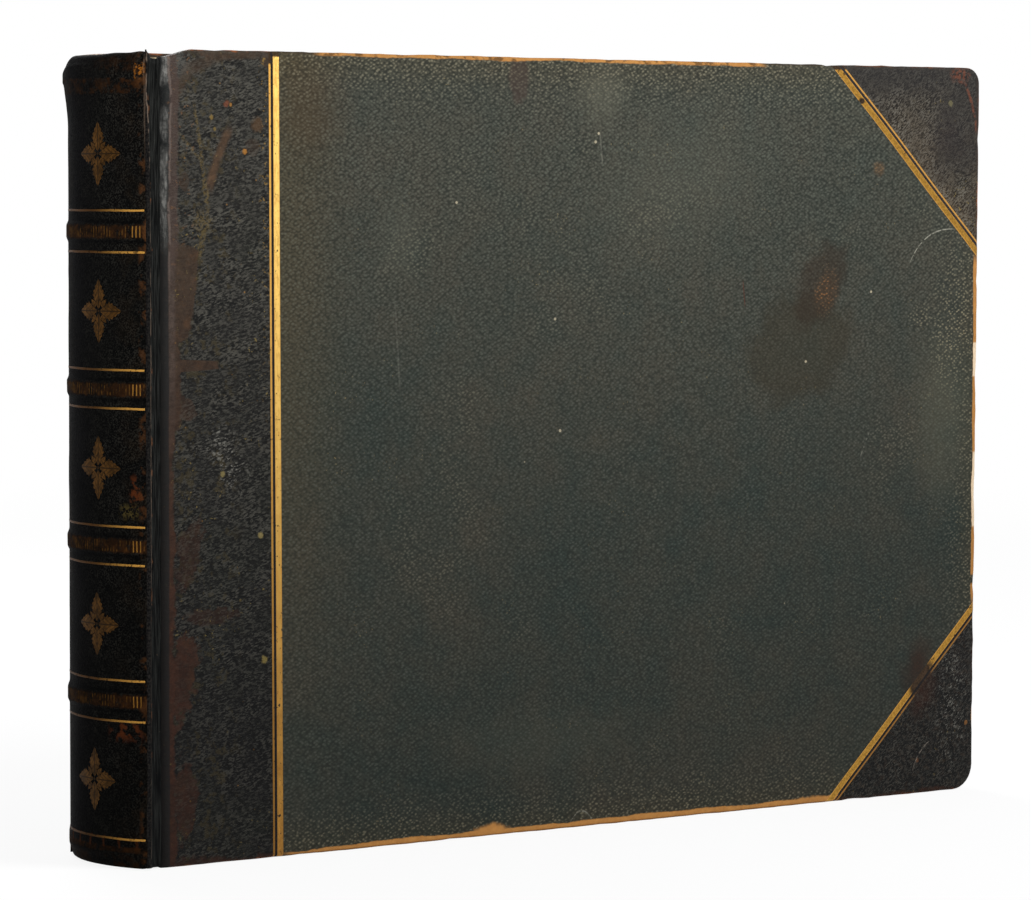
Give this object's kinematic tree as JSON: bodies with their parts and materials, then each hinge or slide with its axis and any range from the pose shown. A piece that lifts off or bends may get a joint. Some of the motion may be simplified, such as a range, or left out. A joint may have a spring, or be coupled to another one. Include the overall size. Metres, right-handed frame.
{
  "type": "photo album",
  "caption": "Oblong photo album in half leather: rounded spine with raised bands and gilt tooling, cloth sides, leather corners, hinged covers and stiff card leaves.",
  "frame": {"origin": "middle of the closed album's footprint on the surface it stands on, under its tail edge", "axes": "+X from the spine to the fore-edge, +Y from the front cover to the back cover, +Z from tail to head"},
  "size_m": [0.4016, 0.0534, 0.29],
  "materials": {
    "board": "matte",
    "cloth": "matte",
    "leather": "satin",
    "gilt": "satin",
    "marbled_paper": "satin",
    "joint_cloth": "matte",
    "cord": "matte",
    "stiffener_card": "matte",
    "linen": "matte",
    "headband_silk": "satin",
    "leaf_card": "matte"
  },
  "bodies": {
    "spine": {"spine_leather": "leather", "raised_bands": "cord", "spine_gilt_tooling": "gilt", "spine_stiffener": "stiffener_card", "spine_lining": "linen", "sewing_tapes": "linen", "headband": "headband_silk", "tailband": "headband_silk", "leaf_guards": "leaf_card", "front_joint_leather": "leather", "back_joint_leather": "leather", "front_inner_joint": "joint_cloth", "back_inner_joint": "joint_cloth"},
    "front_cover": {"front_board": "board", "front_cloth_side": "cloth", "front_leather": "leather", "front_corner_head": "leather", "front_corner_tail": "leather", "front_gilt_fillets": "gilt", "front_pastedown": "marbled_paper"},
    "back_cover": {"back_board": "board", "back_cloth_side": "cloth", "back_leather": "leather", "back_corner_head": "leather", "back_corner_tail": "leather", "back_gilt_fillets": "gilt", "back_pastedown": "marbled_paper"},
    "front_flyleaf": {"front_flyleaf": "marbled_paper"},
    "back_flyleaf": {"back_flyleaf": "marbled_paper"},
    "leaf_01": {"leaf_01": "leaf_card"},
    "leaf_02": {"leaf_02": "leaf_card"},
    "leaf_03": {"leaf_03": "leaf_card"},
    "leaf_04": {"leaf_04": "leaf_card"},
    "leaf_05": {"leaf_05": "leaf_card"},
    "leaf_06": {"leaf_06": "leaf_card"},
    "leaf_07": {"leaf_07": "leaf_card"},
    "leaf_08": {"leaf_08": "leaf_card"},
    "leaf_09": {"leaf_09": "leaf_card"},
    "leaf_10": {"leaf_10": "leaf_card"},
    "leaf_11": {"leaf_11": "leaf_card"},
    "leaf_12": {"leaf_12": "leaf_card"},
    "leaf_13": {"leaf_13": "leaf_card"},
    "leaf_14": {"leaf_14": "leaf_card"},
    "leaf_15": {"leaf_15": "leaf_card"},
    "leaf_16": {"leaf_16": "leaf_card"},
    "leaf_17": {"leaf_17": "leaf_card"},
    "leaf_18": {"leaf_18": "leaf_card"},
    "leaf_19": {"leaf_19": "leaf_card"},
    "leaf_20": {"leaf_20": "leaf_card"},
    "leaf_21": {"leaf_21": "leaf_card"},
    "leaf_22": {"leaf_22": "leaf_card"},
    "leaf_23": {"leaf_23": "leaf_card"},
    "leaf_24": {"leaf_24": "leaf_card"}
  },
  "joints": [
    {"name": "front_cover_hinge", "type": "hinge", "parent": "spine", "child": "front_cover", "pos_m": [-0.1905, -0.02594, 0.145], "axis": [0, 0, -1], "range_deg": [0, 175], "deforming": ["front_joint_leather", "front_inner_joint"]},
    {"name": "back_cover_hinge", "type": "hinge", "parent": "spine", "child": "back_cover", "pos_m": [-0.1905, 0.02594, 0.145], "axis": [0, 0, 1], "range_deg": [0, 175], "deforming": ["back_joint_leather", "back_inner_joint"]},
    {"name": "front_flyleaf_turn", "type": "hinge", "parent": "spine", "child": "front_flyleaf", "pos_m": [-0.1885, -0.02196, 0.145], "axis": [0, 0, -1], "range_deg": [0, 92]},
    {"name": "back_flyleaf_turn", "type": "hinge", "parent": "spine", "child": "back_flyleaf", "pos_m": [-0.1885, 0.02196, 0.145], "axis": [0, 0, 1], "range_deg": [0, 92]},
    {"name": "leaf_01_turn", "type": "hinge", "parent": "spine", "child": "leaf_01", "pos_m": [-0.176, -0.02082, 0.145], "axis": [0, 0, -1], "range_deg": [0, 81]},
    {"name": "leaf_02_turn", "type": "hinge", "parent": "spine", "child": "leaf_02", "pos_m": [-0.176, -0.01901, 0.145], "axis": [0, 0, -1], "range_deg": [0, 74.25]},
    {"name": "leaf_03_turn", "type": "hinge", "parent": "spine", "child": "leaf_03", "pos_m": [-0.176, -0.01719, 0.145], "axis": [0, 0, -1], "range_deg": [0, 67.5]},
    {"name": "leaf_04_turn", "type": "hinge", "parent": "spine", "child": "leaf_04", "pos_m": [-0.176, -0.01538, 0.145], "axis": [0, 0, -1], "range_deg": [0, 60.75]},
    {"name": "leaf_05_turn", "type": "hinge", "parent": "spine", "child": "leaf_05", "pos_m": [-0.176, -0.01358, 0.145], "axis": [0, 0, -1], "range_deg": [0, 54]},
    {"name": "leaf_06_turn", "type": "hinge", "parent": "spine", "child": "leaf_06", "pos_m": [-0.176, -0.01176, 0.145], "axis": [0, 0, -1], "range_deg": [0, 47.25]},
    {"name": "leaf_07_turn", "type": "hinge", "parent": "spine", "child": "leaf_07", "pos_m": [-0.176, -0.00996, 0.145], "axis": [0, 0, -1], "range_deg": [0, 40.5]},
    {"name": "leaf_08_turn", "type": "hinge", "parent": "spine", "child": "leaf_08", "pos_m": [-0.176, -0.00814, 0.145], "axis": [0, 0, -1], "range_deg": [0, 33.75]},
    {"name": "leaf_09_turn", "type": "hinge", "parent": "spine", "child": "leaf_09", "pos_m": [-0.176, -0.00634, 0.145], "axis": [0, 0, -1], "range_deg": [0, 27]},
    {"name": "leaf_10_turn", "type": "hinge", "parent": "spine", "child": "leaf_10", "pos_m": [-0.176, -0.00453, 0.145], "axis": [0, 0, -1], "range_deg": [0, 20.25]},
    {"name": "leaf_11_turn", "type": "hinge", "parent": "spine", "child": "leaf_11", "pos_m": [-0.176, -0.00271, 0.145], "axis": [0, 0, -1], "range_deg": [0, 13.5]},
    {"name": "leaf_12_turn", "type": "hinge", "parent": "spine", "child": "leaf_12", "pos_m": [-0.176, -0.0009, 0.145], "axis": [0, 0, -1], "range_deg": [0, 6.75]},
    {"name": "leaf_13_turn", "type": "hinge", "parent": "spine", "child": "leaf_13", "pos_m": [-0.176, 0.0009, 0.145], "axis": [0, 0, 1], "range_deg": [0, 6.75]},
    {"name": "leaf_14_turn", "type": "hinge", "parent": "spine", "child": "leaf_14", "pos_m": [-0.176, 0.00271, 0.145], "axis": [0, 0, 1], "range_deg": [0, 13.5]},
    {"name": "leaf_15_turn", "type": "hinge", "parent": "spine", "child": "leaf_15", "pos_m": [-0.176, 0.00453, 0.145], "axis": [0, 0, 1], "range_deg": [0, 20.25]},
    {"name": "leaf_16_turn", "type": "hinge", "parent": "spine", "child": "leaf_16", "pos_m": [-0.176, 0.00634, 0.145], "axis": [0, 0, 1], "range_deg": [0, 27]},
    {"name": "leaf_17_turn", "type": "hinge", "parent": "spine", "child": "leaf_17", "pos_m": [-0.176, 0.00814, 0.145], "axis": [0, 0, 1], "range_deg": [0, 33.75]},
    {"name": "leaf_18_turn", "type": "hinge", "parent": "spine", "child": "leaf_18", "pos_m": [-0.176, 0.00996, 0.145], "axis": [0, 0, 1], "range_deg": [0, 40.5]},
    {"name": "leaf_19_turn", "type": "hinge", "parent": "spine", "child": "leaf_19", "pos_m": [-0.176, 0.01176, 0.145], "axis": [0, 0, 1], "range_deg": [0, 47.25]},
    {"name": "leaf_20_turn", "type": "hinge", "parent": "spine", "child": "leaf_20", "pos_m": [-0.176, 0.01358, 0.145], "axis": [0, 0, 1], "range_deg": [0, 54]},
    {"name": "leaf_21_turn", "type": "hinge", "parent": "spine", "child": "leaf_21", "pos_m": [-0.176, 0.01538, 0.145], "axis": [0, 0, 1], "range_deg": [0, 60.75]},
    {"name": "leaf_22_turn", "type": "hinge", "parent": "spine", "child": "leaf_22", "pos_m": [-0.176, 0.01719, 0.145], "axis": [0, 0, 1], "range_deg": [0, 67.5]},
    {"name": "leaf_23_turn", "type": "hinge", "parent": "spine", "child": "leaf_23", "pos_m": [-0.176, 0.01901, 0.145], "axis": [0, 0, 1], "range_deg": [0, 74.25]},
    {"name": "leaf_24_turn", "type": "hinge", "parent": "spine", "child": "leaf_24", "pos_m": [-0.176, 0.02082, 0.145], "axis": [0, 0, 1], "range_deg": [0, 81]}
  ],
  "couplings": [
    {"joint": "front_flyleaf_turn", "follows": "front_cover_hinge", "ratio": 0.52571},
    {"joint": "back_flyleaf_turn", "follows": "back_cover_hinge", "ratio": 0.52571},
    {"joint": "leaf_01_turn", "follows": "front_cover_hinge", "ratio": 0.46286},
    {"joint": "leaf_02_turn", "follows": "front_cover_hinge", "ratio": 0.42429},
    {"joint": "leaf_03_turn", "follows": "front_cover_hinge", "ratio": 0.38571},
    {"joint": "leaf_04_turn", "follows": "front_cover_hinge", "ratio": 0.34714},
    {"joint": "leaf_05_turn", "follows": "front_cover_hinge", "ratio": 0.30857},
    {"joint": "leaf_06_turn", "follows": "front_cover_hinge", "ratio": 0.27},
    {"joint": "leaf_07_turn", "follows": "front_cover_hinge", "ratio": 0.23143},
    {"joint": "leaf_08_turn", "follows": "front_cover_hinge", "ratio": 0.19286},
    {"joint": "leaf_09_turn", "follows": "front_cover_hinge", "ratio": 0.15429},
    {"joint": "leaf_10_turn", "follows": "front_cover_hinge", "ratio": 0.11571},
    {"joint": "leaf_11_turn", "follows": "front_cover_hinge", "ratio": 0.077142},
    {"joint": "leaf_12_turn", "follows": "front_cover_hinge", "ratio": 0.038571},
    {"joint": "leaf_13_turn", "follows": "back_cover_hinge", "ratio": 0.038571},
    {"joint": "leaf_14_turn", "follows": "back_cover_hinge", "ratio": 0.077142},
    {"joint": "leaf_15_turn", "follows": "back_cover_hinge", "ratio": 0.11571},
    {"joint": "leaf_16_turn", "follows": "back_cover_hinge", "ratio": 0.15429},
    {"joint": "leaf_17_turn", "follows": "back_cover_hinge", "ratio": 0.19286},
    {"joint": "leaf_18_turn", "follows": "back_cover_hinge", "ratio": 0.23143},
    {"joint": "leaf_19_turn", "follows": "back_cover_hinge", "ratio": 0.27},
    {"joint": "leaf_20_turn", "follows": "back_cover_hinge", "ratio": 0.30857},
    {"joint": "leaf_21_turn", "follows": "back_cover_hinge", "ratio": 0.34714},
    {"joint": "leaf_22_turn", "follows": "back_cover_hinge", "ratio": 0.38571},
    {"joint": "leaf_23_turn", "follows": "back_cover_hinge", "ratio": 0.42429},
    {"joint": "leaf_24_turn", "follows": "back_cover_hinge", "ratio": 0.46286}
  ]
}
